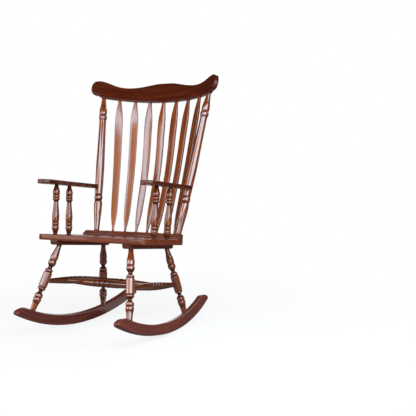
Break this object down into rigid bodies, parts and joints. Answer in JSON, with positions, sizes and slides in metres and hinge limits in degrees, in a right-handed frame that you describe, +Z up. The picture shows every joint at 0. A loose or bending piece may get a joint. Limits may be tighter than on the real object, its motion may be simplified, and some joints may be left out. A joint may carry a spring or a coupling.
{
  "type": "boston rocking chair",
  "caption": "Wooden rocking armchair with turned legs and posts, flat bowed back spindles, a scrolled crest rail and bow rockers.",
  "frame": {"origin": "on the floor, under the middle of the chair's plan", "axes": "+Z up, -Y towards the front of the chair, +X towards its left side for a person sitting in it"},
  "size_m": [0.6848, 0.8336, 1.0813],
  "materials": {
    "seat_wood": "gloss",
    "rocker_wood": "gloss",
    "turned_wood": "gloss",
    "flat_wood": "gloss",
    "screw_steel": "satin"
  },
  "bodies": {
    "root": {"seat_plank": "seat_wood", "seat_riser": "seat_wood", "seat_cleat_left": "seat_wood", "seat_cleat_right": "seat_wood", "cleat_screw_front_left": "screw_steel", "cleat_screw_front_right": "screw_steel", "cleat_screw_rear_left": "screw_steel", "cleat_screw_rear_right": "screw_steel", "rocker_left": "rocker_wood", "rocker_right": "rocker_wood", "leg_front_left": "turned_wood", "leg_front_right": "turned_wood", "leg_rear_left": "turned_wood", "leg_rear_right": "turned_wood", "side_stretcher_left": "turned_wood", "side_stretcher_right": "turned_wood", "cross_stretcher_front": "turned_wood", "cross_stretcher_rear": "turned_wood", "back_post_left": "turned_wood", "back_post_right": "turned_wood", "spindle_1": "flat_wood", "spindle_2": "flat_wood", "spindle_3": "flat_wood", "spindle_4": "flat_wood", "spindle_5": "flat_wood", "spindle_6": "flat_wood", "spindle_7": "flat_wood", "crest_rail": "flat_wood", "arm_left": "flat_wood", "arm_right": "flat_wood", "arm_post_front_left": "turned_wood", "arm_post_front_right": "turned_wood", "arm_post_rear_left": "turned_wood", "arm_post_rear_right": "turned_wood"}
  },
  "joints": []
}
